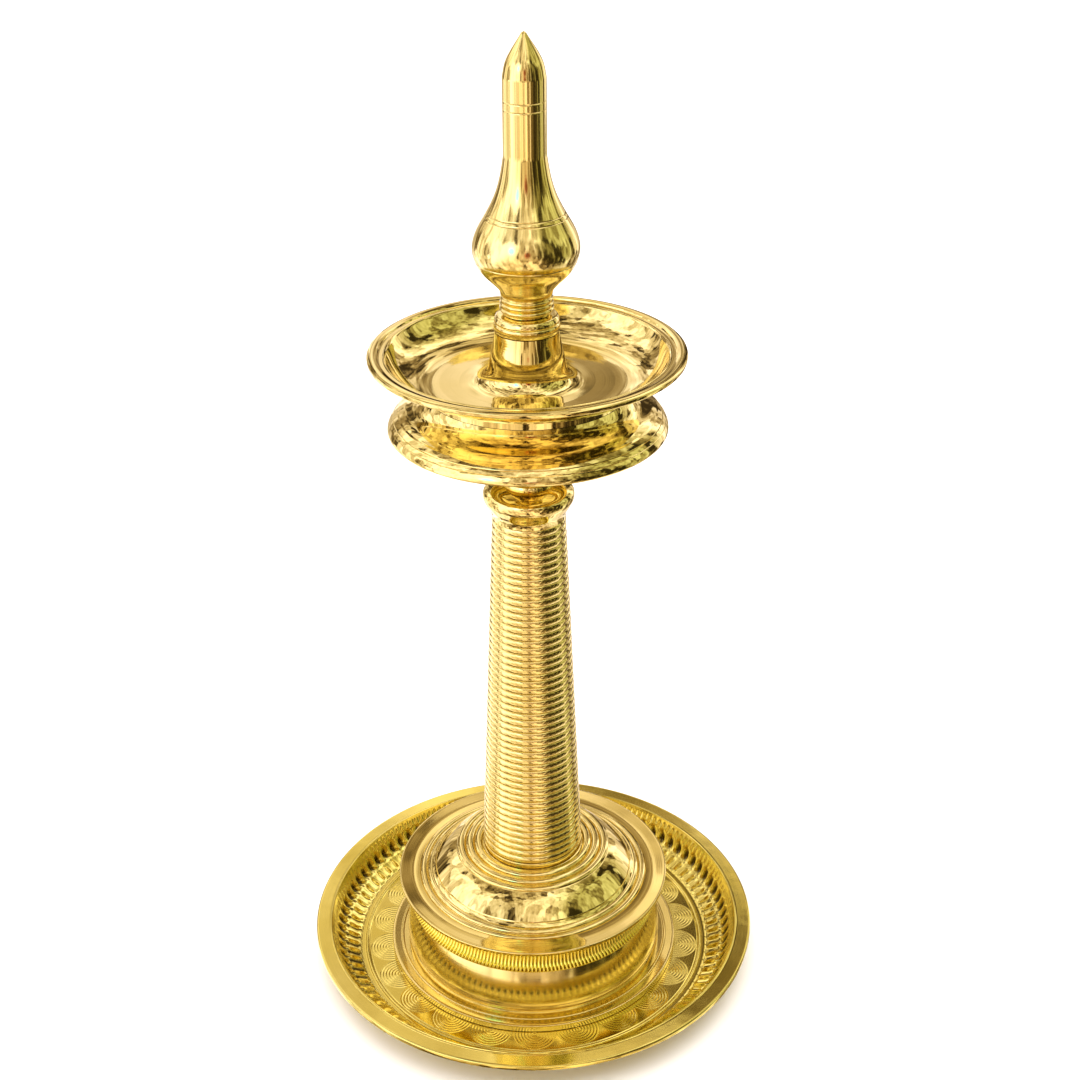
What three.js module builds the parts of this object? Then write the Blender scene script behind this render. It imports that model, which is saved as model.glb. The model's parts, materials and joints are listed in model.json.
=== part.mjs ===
// A standing brass oil lamp (samai) on its round tray, in millimetres, +Z up.
// Every piece is turned about the Z axis. The origin is the middle of the
// tray's underside. The lamp lifts off the tray, and it comes apart at three
// screwed joints: column off base, bowl off column, finial off bowl.
import * as THREE from "three";

// ---------------------------------------------------------------- sizes

const CLEARANCE = 0.3; // gap between pieces that touch

const column = {
  footRadius: 33.2, // widest rib, at the bottom
  topRadius: 22.8, // narrowest rib, at the top
  height: 243.1,
  wall: 3.6,
  web: 10, // thickness of the threaded floor inside its foot
};
const stud = {
  radius: 7.4, // all three screwed joints use the same stud
  fit: 0.35, // radial gap in a bore
  chamfer: 1.2,
};
const seatRing = { height: 4.2, bowlHeight: 3 }; // loose rings in two of the joints

const dome = {
  hub: 14, // depth of the boss that holds the lower stud
  hubRadius: 24,
  shell: 3.2,
  rings: 3, // half-round rings stepped up to the column
  ringWidth: 5.95,
  ringHeight: 1.8,
  ringRise: 1.1, // each ring starts this much higher than the one outside it
  run: 14.5, // radial width of the dome itself
  rise: 13.6,
  beadWidth: 5.3, // two turned beads between the dome and the flange
  beadHeight: 1.2,
  flangeWidth: 14.3,
  flangeEdge: 2.5,
  flangeDish: 0.9, // the flange is this much lower inside than at its edge
  beadRise: 5.1,
};
const foot = {
  height: 56.8,
  shell: 3.2,
  overhang: 3.9, // how far the flange stands out past the bulge
  ledge: 11.2, // how far the foot stands out past the bulge
  edge: 4.6,
  groove: 0.5,
  bulgeRise: 34.4, // top of the bulge, above the foot
  bulgeSwell: 3,
  shoulder: 1.6,
  bandStart: 37.1,
  bandHeight: 10.8,
  bandInset: 3.4, // lower edge of the reeded band, in from the bulge
  bandDepth: 5.5, // how far the band leans in by its upper edge
  bandWall: 2.2,
};
const tray = {
  sheet: 1.6,
  floorMargin: 22, // flat floor shown round the foot
  wallRun: 18.6,
  depth: 20.9,
  lip: 11,
  lipRise: 0.5,
  edgeDrop: 3.4,
  bead: 0.8,
  beadWidth: 2.2,
  beadInset: 3,
};
const knop = {
  radius: 28.2,
  ballRise: 14, // bottom of the ball to its widest line
  ballTop: 8,
  collarRadius: 16.4,
  collarHeight: 3.4,
  neckRadius: 13.8,
  neckLength: 42,
  seatRadius: 16,
  spigot: 6,
};
const bowl = {
  bossRadius: 18.8, // top of the boss
  bossFoot: 40, // where the boss runs out into the floor
  bossHeight: 31.3, // above the floor
  floorWidth: 12,
  wallRun: 30.8,
  wallRise: 17.6,
  rimWidth: 10.9,
  rimCrown: 1.1,
  shell: 2.7,
  hubRadius: 16.5,
  hubDepth: 15,
  neckOut: 8.3, // neck under the bowl, out from the edge of its floor
  neckWall: 3.8,
  neckDrop: 2.5,
};
const skirt = {
  flare: 23.5, // how far its lip stands out past the neck
  drop: 23.9,
  lip: 7.3,
  lipRise: 8.9,
  shell: 2.5,
};
const collar = { radius: 19.4, height: 10.1, step: 0.8 };
const finial = {
  height: 159.2,
  footRadius: 14.3,
  beadRadius: 16,
  neckRadius: 15.2,
  neckHeight: 12.2, // bottom of the finial to its waist under the bulb
  bulbRadius: 31,
  bulbHeight: 39.5,
  stemRadius: 12.4,
  stemFoot: 92, // where the bulb has become the straight stem
  pointRadius: 12.1,
  pointHeight: 23,
  shell: 3.5,
  plug: 17, // solid length that holds its stud
};
const bite = { column: 9.6, bowl: 12.2, finial: 14.7 }; // length of stud in each bore
const fastener = { washer: 2.3, washerRadius: 15, nut: 7, nutRadius: 13.5, tail: 3 };

// --------------------------------------------------- radii and heights

const bore = stud.radius + stud.fit;

const seatRadius = column.footRadius + 0.6;
const domeTopRadius = seatRadius + dome.rings * dome.ringWidth;
const domeRadius = domeTopRadius + dome.run;
const beadRadius = domeRadius + 2 * dome.beadWidth;
const flangeRadius = beadRadius + dome.flangeWidth;
const bulgeRadius = flangeRadius - foot.overhang;
const footRadius = bulgeRadius + foot.ledge;
const trayFloorRadius = footRadius + tray.floorMargin;
const trayRimInner = trayFloorRadius + tray.wallRun;
const trayRadius = trayRimInner + tray.lip;
const bandLower = bulgeRadius - foot.bandInset;
const bandUpper = bandLower - foot.bandDepth;

const trayRim = tray.sheet + tray.depth;
const footBottom = tray.sheet + CLEARANCE;
const flangeBottom = footBottom + foot.height + CLEARANCE;
const flangeTop = flangeBottom + dome.flangeEdge;
const domeBottom = flangeTop - dome.flangeDish + dome.beadRise;
const domeTop = domeBottom + dome.rise;
const baseTop = domeTop + dome.rings * dome.ringRise;
const columnRingBottom = baseTop + CLEARANCE;
const columnBottom = columnRingBottom + seatRing.height + CLEARANCE;
const columnTop = columnBottom + column.height;
const knopBottom = columnTop + CLEARANCE;
const ballWidest = knopBottom + knop.ballRise;
const ballTop = ballWidest + knop.ballTop;
const knopTop = ballTop + knop.collarHeight + knop.neckLength;
const bowlRingBottom = knopTop + CLEARANCE;
const bowlHubBottom = bowlRingBottom + seatRing.bowlHeight + CLEARANCE;
const bowlUnderside = bowlHubBottom + bowl.hubDepth;
const bowlFloor = bowlUnderside + bowl.shell;
const bossTop = bowlFloor + bowl.bossHeight;
const collarBottom = bossTop + CLEARANCE;
const finialBottom = collarBottom + collar.height + CLEARANCE;
const finialTip = finialBottom + finial.height;

const bowlFloorRadius = bowl.bossFoot + bowl.floorWidth;
const bowlWallRadius = bowlFloorRadius + bowl.wallRun;
const bowlRadius = bowlWallRadius + bowl.rimWidth;
const bowlNeckRadius = bowlFloorRadius + bowl.neckOut;

// ------------------------------------------------------------- helpers

const WIDE = 48; // facets round the tray
const LARGE = 36; // facets round the base and the bowl
const SMALL = 20; // facets round the column, knop and finial
const TINY = 12; // facets round the studs

const brass = { color: 0xd8b45a, roughness: 0.14, metalness: 1 };
const trayBrass = { color: 0xc9a43c, roughness: 0.2, metalness: 1 };
const machinedBrass = { color: 0xc8a652, roughness: 0.3, metalness: 1 };

// A smooth stretch of an outline through [radius, height] points.
function smooth(points, steps) {
  const vectors = points.map(([r, z]) => new THREE.Vector2(r, z));
  return new THREE.SplineCurve(vectors).getPoints(steps).map((p) => [p.x, p.y]);
}

// A half-round bead or ring on an outline, from one [radius, height] to the next.
function halfRound([r0, z0], [r1, z1], height, steps) {
  const points = [];
  for (let i = 0; i <= steps; i += 1) {
    const t = i / steps;
    points.push([r0 + (r1 - r0) * t, z0 + (z1 - z0) * t + height * Math.sin(Math.PI * t)]);
  }
  return points;
}

// Turns a closed outline, given anticlockwise with the radius to the right.
function turned(name, outline, facets, finish) {
  const closed = outline[0][0] === 0 ? outline : [...outline, outline[0]];
  const points = closed.map(([r, z]) => new THREE.Vector2(r, z));
  const geometry = new THREE.LatheGeometry(points, facets);
  geometry.rotateX(Math.PI / 2);
  const mesh = new THREE.Mesh(geometry, new THREE.MeshStandardMaterial(finish));
  mesh.name = name;
  return mesh;
}

// A plain ring of rectangular section with its outer edges eased.
function seatRingMesh(name, bottom, height, outer, inner) {
  const ease = 0.5;
  return turned(name, [
    [inner, bottom],
    [outer - ease, bottom],
    [outer, bottom + ease],
    [outer, bottom + height - ease],
    [outer - ease, bottom + height],
    [inner, bottom + height],
  ], SMALL, brass);
}

function studMesh(name, bottom, top) {
  const r = stud.radius;
  const c = stud.chamfer;
  return turned(name, [
    [0, bottom],
    [r - c, bottom],
    [r, bottom + c],
    [r, top - c],
    [r - c, top],
    [0, top],
  ], TINY, machinedBrass);
}

// -------------------------------------------------------------- pieces

// Raised tray: flat floor, steep fluted wall and a flat lip turned down at its edge.
function makeTray() {
  const t = tray.sheet;
  const slope = Math.hypot(tray.wallRun, tray.depth);
  const shift = (t * slope) / tray.depth; // horizontal thickness of the sloping wall
  const beadOuter = trayFloorRadius - tray.beadInset;
  const bead = halfRound([beadOuter, t], [beadOuter - tray.beadWidth, t], tray.bead, 3);
  const under = trayRim - t;
  const wallOut = shift - (tray.wallRun * t) / tray.depth;
  return turned("tray", [
    [0, 0],
    [trayFloorRadius + wallOut, 0],
    [trayRimInner + wallOut, under],
    [trayRadius - t, under],
    [trayRadius - t, trayRim - tray.edgeDrop],
    [trayRadius, trayRim - tray.edgeDrop],
    [trayRadius, trayRim - t / 2],
    [trayRadius - t / 2, trayRim],
    [trayRimInner, trayRim + tray.lipRise],
    [trayFloorRadius, t],
    ...bead,
    [0, t],
  ], WIDE, trayBrass);
}

// Foot ring, swelling drum and cavetto in one open-bottomed casting.
function makeBaseFoot() {
  const z = footBottom;
  const s = foot.shell;
  const bulgeFoot = bulgeRadius - foot.bulgeSwell;
  const shoulderRadius = bulgeRadius - foot.shoulder;
  const shoulder = z + foot.bulgeRise;
  const bandBottom = z + foot.bandStart - CLEARANCE;
  const bandTop = z + foot.bandStart + foot.bandHeight + CLEARANCE;
  const top = z + foot.height;
  const waist = bandUpper - foot.bandWall - CLEARANCE;
  const bulge = smooth([
    [bulgeFoot, z + foot.edge],
    [bulgeRadius - 0.6, z + foot.edge + 7],
    [bulgeRadius, (z + foot.edge + shoulder) / 2],
    [bulgeRadius - 0.4, shoulder - 6],
    [shoulderRadius, shoulder],
  ], 6);
  const cavetto = smooth([
    [bandUpper, bandTop],
    [bandUpper + 0.6, bandTop + 3.5],
    [bandUpper + 5.5, top],
  ], 3);
  return turned("base_foot", [
    [footRadius - s, z],
    [footRadius - 0.4, z],
    [footRadius, z + 0.4],
    [footRadius, z + foot.edge - 0.4],
    [footRadius - 0.4, z + foot.edge],
    [footRadius - foot.ledge * 0.62, z + foot.edge - foot.groove],
    ...bulge,
    [bandLower, bandBottom],
    [waist, bandBottom],
    [waist, bandTop],
    ...cavetto,
    [waist - s, top],
    [waist - s, bandBottom - s],
    [shoulderRadius - s, shoulder - s],
    [bulgeRadius - s, (z + foot.edge + shoulder) / 2],
    [bulgeFoot - s, z + foot.edge],
  ], LARGE, brass);
}

// Reeded band, seated in the groove of the foot under the flange.
function makeReededBand() {
  const bottom = footBottom + foot.bandStart;
  const top = bottom + foot.bandHeight;
  const face = smooth([
    [bandLower, bottom],
    [bandLower - foot.bandDepth * 0.5, bottom + foot.bandHeight * 0.24],
    [bandUpper + foot.bandDepth * 0.16, bottom + foot.bandHeight * 0.58],
    [bandUpper, top],
  ], 4);
  return turned("reeded_band", [
    [bandUpper - foot.bandWall, bottom],
    ...face,
    [bandUpper - foot.bandWall, top],
  ], LARGE, brass);
}

// Flange, beads, dome and the rings that step up to the column.
function makeBaseDome() {
  const s = dome.shell;
  const flat = flangeTop - dome.flangeDish;
  const between = [beadRadius - dome.beadWidth, flat + dome.beadRise * 0.2];
  const outerBead = halfRound([beadRadius, flat], between, dome.beadHeight, 4);
  const innerBead = halfRound(between, [domeRadius, domeBottom], dome.beadHeight * 0.4, 2);
  const crown = smooth([
    [domeRadius, domeBottom],
    [domeRadius - dome.run * 0.43, domeBottom + dome.rise * 0.53],
    [domeTopRadius, domeTop],
  ], 4);
  const outline = [
    [dome.hubRadius, baseTop - dome.hub],
    [dome.hubRadius + 3, domeTop - s],
    [domeTopRadius - s, domeTop - s],
    [domeRadius - s, domeBottom - s],
    [domeRadius - s, flangeBottom],
    [flangeRadius, flangeBottom],
    [flangeRadius, flangeTop - 0.5],
    [flangeRadius - 0.5, flangeTop],
    ...outerBead,
    ...innerBead.slice(1),
    ...crown.slice(1),
  ];
  for (let i = 0; i < dome.rings; i += 1) {
    const outer = domeTopRadius - i * dome.ringWidth;
    const start = [outer, domeTop + i * dome.ringRise];
    const end = [outer - dome.ringWidth, domeTop + (i + 1) * dome.ringRise];
    outline.push(...halfRound(start, end, dome.ringHeight, 4).slice(1));
  }
  outline.push([bore, baseTop], [bore, baseTop - dome.hub]);
  return turned("base_dome", outline, LARGE, brass);
}

function makeBaseWasher() {
  const top = baseTop - dome.hub - CLEARANCE;
  return turned("base_washer", [
    [bore, top - fastener.washer],
    [fastener.washerRadius, top - fastener.washer],
    [fastener.washerRadius, top],
    [bore, top],
  ], SMALL, machinedBrass);
}

// Hexagon nut that clamps the lower stud to the hub of the dome.
function makeBaseNut() {
  const top = baseTop - dome.hub - fastener.washer - 2 * CLEARANCE;
  const outline = new THREE.Shape();
  for (let i = 0; i < 6; i += 1) {
    const angle = (i * Math.PI) / 3;
    const x = fastener.nutRadius * Math.cos(angle);
    const y = fastener.nutRadius * Math.sin(angle);
    if (i === 0) outline.moveTo(x, y);
    else outline.lineTo(x, y);
  }
  outline.closePath();
  const hole = new THREE.Path();
  hole.absarc(0, 0, bore, 0, 2 * Math.PI, true);
  outline.holes.push(hole);
  const geometry = new THREE.ExtrudeGeometry(outline, {
    depth: fastener.nut,
    bevelEnabled: false,
    curveSegments: TINY / 2,
  });
  geometry.translate(0, 0, top - fastener.nut);
  const mesh = new THREE.Mesh(geometry, new THREE.MeshStandardMaterial(machinedBrass));
  mesh.name = "base_nut";
  return mesh;
}

function makeBaseStud() {
  const nutBottom = baseTop - dome.hub - fastener.washer - fastener.nut - 2 * CLEARANCE;
  return studMesh("base_stud", nutBottom - fastener.tail, columnBottom + bite.column);
}

// Hollow tapering column, with a threaded floor inside its foot.
function makeColumn() {
  const webTop = columnBottom + column.web;
  const taper = (column.footRadius - column.topRadius) / column.height;
  const webRadius = column.footRadius - column.web * taper - column.wall;
  return turned("column", [
    [bore, columnBottom],
    [column.footRadius, columnBottom],
    [column.topRadius, columnTop],
    [column.topRadius - column.wall, columnTop],
    [webRadius, webTop],
    [bore, webTop],
  ], SMALL, brass);
}

// Ball at the top of the column, with the neck that carries the bowl.
function makeKnop() {
  const spigotRadius = column.topRadius - column.wall - CLEARANCE;
  const taper = (column.footRadius - column.topRadius) / column.height;
  const spigotFoot = spigotRadius - knop.spigot * taper;
  const collarTop = ballTop + knop.collarHeight;
  const ball = smooth([
    [column.topRadius, knopBottom + 0.6],
    [column.topRadius + 0.5, knopBottom + 3],
    [knop.radius - 1.6, ballWidest - 6.5],
    [knop.radius, ballWidest],
    [knop.radius - 2.4, ballWidest + 5],
    [knop.collarRadius + 3.4, ballTop - 0.6],
    [knop.collarRadius, ballTop],
  ], 9);
  return turned("knop", [
    [bore, knopBottom - knop.spigot],
    [spigotFoot, knopBottom - knop.spigot],
    [spigotFoot, knopBottom],
    [column.topRadius, knopBottom],
    ...ball,
    [knop.collarRadius, collarTop - 0.8],
    [knop.collarRadius - 0.8, collarTop],
    [knop.neckRadius, collarTop + 1.5],
    [knop.neckRadius, knopTop - 4],
    [knop.seatRadius, knopTop - 1.5],
    [knop.seatRadius, knopTop],
    [bore, knopTop],
  ], SMALL, brass);
}

// Bell-shaped drip skirt soldered under the bowl.
function makeSkirt() {
  const s = skirt.shell;
  const top = bowlUnderside - bowl.neckDrop - CLEARANCE;
  const lipRadius = bowlNeckRadius + skirt.flare;
  const bottom = top - skirt.drop;
  const crease = [lipRadius - skirt.lip, bottom + skirt.lipRise + 2];
  const bell = smooth([
    crease,
    [bowlNeckRadius + 8.6, top - 8.6],
    [bowlNeckRadius + 3, top - 4.6],
    [bowlNeckRadius, top],
  ], 5);
  const inside = smooth([
    [bowlNeckRadius - bowl.neckWall, top],
    [bowlNeckRadius - 0.4, top - 6.4],
    [bowlNeckRadius + 6.6, top - 11.4],
    [crease[0] - 0.8, crease[1] - s],
  ], 4);
  return turned("skirt", [
    [lipRadius - s, bottom],
    [lipRadius - 0.6, bottom],
    [lipRadius, bottom + 1],
    [lipRadius - 0.4, bottom + 2.6],
    [lipRadius - skirt.lip * 0.35, bottom + skirt.lipRise * 0.6],
    [crease[0] + 0.6, crease[1] - 1],
    ...bell,
    ...inside,
  ], LARGE, brass);
}

// Shallow bowl for the oil, with the hollow boss that takes the finial.
function makeOilDish() {
  const s = bowl.shell;
  const rim = bowlFloor + bowl.wallRise;
  const neckBottom = bowlUnderside - bowl.neckDrop;
  const underside = smooth([
    [bowlNeckRadius, bowlUnderside + 2.2],
    [bowlNeckRadius + 6, bowlUnderside + 3.4],
    [bowlFloorRadius + bowl.wallRun * 0.72, bowlFloor + bowl.wallRise * 0.24],
    [bowlWallRadius + 1.7, rim - s - 0.6],
  ], 4);
  const inside = smooth([
    [bowlWallRadius, rim],
    [bowlWallRadius - bowl.wallRun * 0.08, rim - bowl.wallRise * 0.27],
    [bowlWallRadius - bowl.wallRun * 0.22, rim - bowl.wallRise * 0.57],
    [bowlWallRadius - bowl.wallRun * 0.42, rim - bowl.wallRise * 0.81],
    [bowlWallRadius - bowl.wallRun * 0.68, rim - bowl.wallRise * 0.96],
    [bowlFloorRadius, bowlFloor],
  ], 5);
  const flare = bowl.bossFoot - bowl.bossRadius;
  const boss = smooth([
    [bowl.bossFoot, bowlFloor],
    [bowl.bossRadius + flare * 0.45, bowlFloor + 1.2],
    [bowl.bossRadius + flare * 0.3, bowlFloor + 3.8],
    [bowl.bossRadius + flare * 0.19, bowlFloor + 9.5],
    [bowl.bossRadius + flare * 0.12, bowlFloor + bowl.bossHeight * 0.57],
    [bowl.bossRadius, bossTop],
  ], 6);
  return turned("oil_dish", [
    [bore, bowlHubBottom],
    [bowl.hubRadius, bowlHubBottom],
    [bowl.hubRadius + 1.5, bowlUnderside],
    [bowlNeckRadius - bowl.neckWall, bowlUnderside],
    [bowlNeckRadius - bowl.neckWall, neckBottom],
    [bowlNeckRadius, neckBottom],
    ...underside,
    [bowlRadius - 0.5, rim - 1.8],
    [bowlRadius, rim - 1.2],
    [bowlRadius, rim + 0.4],
    [bowlRadius - 0.6, rim + 0.8],
    [bowlRadius - bowl.rimWidth * 0.3, rim + 0.5 + bowl.rimCrown],
    [bowlRadius - bowl.rimWidth * 0.6, rim + 0.3 + bowl.rimCrown],
    [bowlRadius - bowl.rimWidth * 0.7, rim + 0.4],
    [bowlRadius - bowl.rimWidth * 0.92, rim + 0.5],
    ...inside,
    ...boss,
    [bore, bossTop],
  ], LARGE, brass);
}

// Turned collar between the boss and the finial.
function makeFinialCollar() {
  const z = collarBottom;
  const top = z + collar.height;
  const step = z + collar.height * 0.55;
  return turned("finial_collar", [
    [bore, z],
    [collar.radius - collar.step, z],
    [collar.radius, z + 1.4],
    [collar.radius, step],
    [collar.radius - collar.step, step + 0.5],
    [collar.radius - collar.step * 0.6, top - 2.6],
    [collar.radius - 1.8, top - 0.4],
    [collar.radius - 3, top],
    [bore, top],
  ], SMALL, brass);
}

// Hollow finial: beads, onion bulb, straight stem and conical point.
function makeFinial() {
  const z = finialBottom;
  const waist = z + finial.neckHeight;
  const bulb = z + finial.bulbHeight;
  const stemFoot = z + finial.stemFoot;
  const pointFoot = finialTip - finial.pointHeight;
  const s = finial.shell;
  const swell = finial.bulbRadius - finial.stemRadius;
  const outside = smooth([
    [finial.neckRadius, waist],
    [finial.neckRadius + 1.3, waist + 3.4],
    [finial.neckRadius + 6.8, waist + 9.4],
    [finial.bulbRadius - 3.4, bulb - 12],
    [finial.bulbRadius - 0.7, bulb - 6],
    [finial.bulbRadius, bulb],
    [finial.stemRadius + swell * 0.94, bulb + 6],
    [finial.stemRadius + swell * 0.62, bulb + 18],
    [finial.stemRadius + swell * 0.29, bulb + 30],
    [finial.stemRadius + swell * 0.1, bulb + 41],
    [finial.stemRadius, stemFoot],
  ], 15);
  const point = smooth([
    [finial.pointRadius, pointFoot],
    [finial.pointRadius - 1.3, pointFoot + 4],
    [finial.pointRadius * 0.54, pointFoot + finial.pointHeight * 0.62],
    [0, finialTip],
  ], 5);
  const hollow = smooth([
    [finial.stemRadius - s, stemFoot],
    [finial.stemRadius - s + swell * 0.34, bulb + 25],
    [finial.bulbRadius - s, bulb],
    [finial.bulbRadius - s - 4, bulb - 10],
    [bore, z + finial.plug],
  ], 6);
  return turned("finial", [
    [0, pointFoot - s],
    [finial.stemRadius - s, pointFoot - s],
    ...hollow,
    [bore, z],
    [finial.footRadius, z],
    ...beads(z + 2, z + finial.neckHeight - 1.8),
    ...outside,
    ...point,
  ], SMALL, brass);
}

// Two half-round beads round the foot of the finial.
function beads(bottom, top) {
  const points = [];
  const steps = 4;
  const height = (top - bottom) / 2;
  for (let bead = 0; bead < 2; bead += 1) {
    for (let i = bead; i <= steps; i += 1) {
      const swell = Math.sin((Math.PI * i) / steps) * (finial.beadRadius - finial.footRadius);
      points.push([finial.footRadius + swell, bottom + (bead + i / steps) * height]);
    }
  }
  return points;
}

// ------------------------------------------------------------ assembly

const lamp = new THREE.Group();
lamp.add(
  makeTray(),
  makeBaseFoot(),
  makeReededBand(),
  makeBaseDome(),
  makeBaseWasher(),
  makeBaseNut(),
  makeBaseStud(),
  seatRingMesh("column_ring", columnRingBottom, seatRing.height, column.footRadius, bore),
  makeColumn(),
  makeKnop(),
  studMesh("knop_stud", knopTop - finial.plug, bowlHubBottom + bite.bowl),
  seatRingMesh("bowl_ring", bowlRingBottom, seatRing.bowlHeight, knop.seatRadius, bore),
  makeSkirt(),
  makeOilDish(),
  makeFinialCollar(),
  makeFinial(),
  studMesh("finial_stud", bossTop - bite.finial, finialBottom + finial.plug - 1),
);

export default lamp;
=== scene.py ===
# %% [markdown]
# # A standing brass oil lamp on its tray
#
# The lamp is a samai: a shallow oil bowl on a tall ribbed column, with a domed
# base and a pointed finial. Nearly every piece was cast roughly round, turned on
# a lathe and buffed, so in Blender nearly every piece is one outline swung round
# the Z axis. The beauty is in the outline: a mirror finish shows every bump and
# flat in it, so the curves are smooth splines and the edges are slightly eased.
#
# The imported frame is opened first. It holds the plain solids that move and
# collide. Each one is hidden and a finer piece is put in its place. The frame
# gives the size and place of each piece, and the outlines here add the detail.

# %% Open the frame
import json
import math
from types import SimpleNamespace

import bpy
import numpy as np
from mathutils import Matrix, Vector


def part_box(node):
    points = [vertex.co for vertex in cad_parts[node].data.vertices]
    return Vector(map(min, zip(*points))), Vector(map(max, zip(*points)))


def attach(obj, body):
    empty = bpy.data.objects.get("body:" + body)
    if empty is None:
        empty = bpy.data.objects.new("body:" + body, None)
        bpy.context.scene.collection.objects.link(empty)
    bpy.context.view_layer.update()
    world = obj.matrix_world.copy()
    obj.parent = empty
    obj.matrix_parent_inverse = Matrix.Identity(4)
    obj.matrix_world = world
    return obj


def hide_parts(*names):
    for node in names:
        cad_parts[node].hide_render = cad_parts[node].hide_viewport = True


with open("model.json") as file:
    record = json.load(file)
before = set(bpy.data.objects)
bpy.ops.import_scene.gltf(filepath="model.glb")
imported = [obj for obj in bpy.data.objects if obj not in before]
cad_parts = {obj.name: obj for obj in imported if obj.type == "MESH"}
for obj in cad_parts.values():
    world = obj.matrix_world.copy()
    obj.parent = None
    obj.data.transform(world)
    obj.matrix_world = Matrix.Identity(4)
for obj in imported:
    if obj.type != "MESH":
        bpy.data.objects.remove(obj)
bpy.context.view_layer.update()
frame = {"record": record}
body_of = {node: body for body, nodes in frame["record"]["behaviour"]["bodies"].items() for node in nodes}

# %% [markdown]
# ## The camera
#
# The lamp is seen from the front and well above, the way someone standing near a
# table sees it. A lens a little longer than normal keeps the tray and the bowl
# from spreading. The camera is turned by a matrix rather than by aiming it at a
# target, because the horizon is very slightly off level.

# %% Stand the camera in front
CAMERA_DISTANCE = 0.9456
CAMERA_HEIGHT = 0.8157
CAMERA_PITCH = math.radians(28.01)
CAMERA_ROLL = math.radians(-0.63)
CAMERA_LENS = 57.8
CAMERA_SHIFT = 0.01


def stand_camera():
    data = bpy.data.cameras.new("front_camera")
    data.lens = CAMERA_LENS
    data.sensor_width = 36
    data.shift_x = CAMERA_SHIFT
    camera = bpy.data.objects.new("front_camera", data)
    bpy.context.scene.collection.objects.link(camera)
    forward = Vector((0, math.cos(CAMERA_PITCH), -math.sin(CAMERA_PITCH)))
    level = Vector((1, 0, 0))
    above = level.cross(forward)
    right = math.cos(CAMERA_ROLL) * level + math.sin(CAMERA_ROLL) * above
    up = right.cross(forward)
    turn = Matrix((right, up, -forward)).transposed().to_4x4()
    camera.matrix_world = Matrix.Translation((0, -CAMERA_DISTANCE, CAMERA_HEIGHT)) @ turn
    return camera


bpy.context.scene.camera = stand_camera()
print("camera at", [round(x, 3) for x in bpy.context.scene.camera.location])

# %% [markdown]
# ## Outlines
#
# An outline is a list of [radius, height] points in millimetres. It runs
# anticlockwise, so that its right-hand side is the outside. Four helpers draw the
# kinds of stretch that a turner cuts: an eased corner, a free curve, a half-round
# bead and a fine scored line. The free curve is a natural cubic spline. Its bend
# changes without a jump, which a mirror finish needs.

# %% Eased corners
EASE_STEPS = 4
HOLD = 0.4


def eased(points):
    """Rounds each corner that has a third value, which is how far back the rounding starts."""
    done = []
    for i, point in enumerate(points):
        if len(point) == 2:
            done.append(tuple(point))
            continue
        at = Vector(point[:2])
        start = at + (Vector(points[i - 1][:2]) - at).normalized() * point[2]
        end = at + (Vector(points[(i + 1) % len(points)][:2]) - at).normalized() * point[2]
        for k in range(EASE_STEPS + 1):
            u = k / EASE_STEPS
            done.append(tuple((1 - u) ** 2 * start + 2 * u * (1 - u) * at + u**2 * end))
    return held(done)


def held(points):
    """Adds a point near both ends of each long straight, so that smooth shading stays flat there."""
    done = []
    for a, b in zip(points, points[1:] + points[:1]):
        done.append(a)
        way = Vector(b) - Vector(a)
        if way.length > 5 * HOLD and min(a[0], b[0]) > 0:
            done += [tuple(Vector(a) + way.normalized() * HOLD), tuple(Vector(b) - way.normalized() * HOLD)]
    return done


# %% Free curves
def sweep(points, steps):
    """A smooth stretch through the points: a natural cubic spline over the distance along them."""
    p = np.array(points, float)
    along = np.concatenate([[0], np.cumsum(np.linalg.norm(np.diff(p, axis=0), axis=1))])
    gap = np.diff(along)
    last = len(p) - 1
    bends, sides = np.eye(last + 1), np.zeros_like(p)
    for i in range(1, last):
        bends[i, i - 1 : i + 2] = gap[i - 1], 2 * (gap[i - 1] + gap[i]), gap[i]
        sides[i] = 6 * ((p[i + 1] - p[i]) / gap[i] - (p[i] - p[i - 1]) / gap[i - 1])
    bend = np.linalg.solve(bends, sides)
    at = np.linspace(0, along[-1], steps + 1)
    i = np.clip(np.searchsorted(along, at, side="right") - 1, 0, last - 1)
    v = ((at - along[i]) / gap[i])[:, None]
    u, g = 1 - v, gap[i][:, None]
    curve = u * p[i] + v * p[i + 1] + ((u**3 - u) * bend[i] + (v**3 - v) * bend[i + 1]) * g**2 / 6
    return [tuple(q) for q in curve]


# %% Beads and scored lines
def bead(start, end, height, steps=8):
    """A half-round from one point to another, standing proud on the outside by its height."""
    a, b = np.array(start, float), np.array(end, float)
    way = b - a
    out = np.array([way[1], -way[0]]) / np.linalg.norm(way)
    turns = np.linspace(0, math.pi, steps + 1)
    return [tuple(a + way * (1 - math.cos(t)) / 2 + out * height * math.sin(t)) for t in turns]


def scored(points, axis, places, depth=0.22, width=0.32):
    """Cuts fine V lines into a stretch, where its radius (axis 0) or height (axis 1) reaches each place."""
    done = [np.array(p[:2], float) for p in points]
    for place in places:
        for i in range(len(done) - 1):
            a, b = done[i], done[i + 1]
            if (a[axis] - place) * (b[axis] - place) <= 0 and abs(a[axis] - b[axis]) > 1e-9:
                at = a + (b - a) * (place - a[axis]) / (b[axis] - a[axis])
                way = (b - a) / np.linalg.norm(b - a)
                out = np.array([way[1], -way[0]])
                before = [q for q in done[: i + 1] if np.linalg.norm(q - at) > width]
                after = [q for q in done[i + 1 :] if np.linalg.norm(q - at) > width]
                done = before + [at - way * width, at - out * depth, at + way * width] + after
                break
    return [tuple(q) for q in done]


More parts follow.
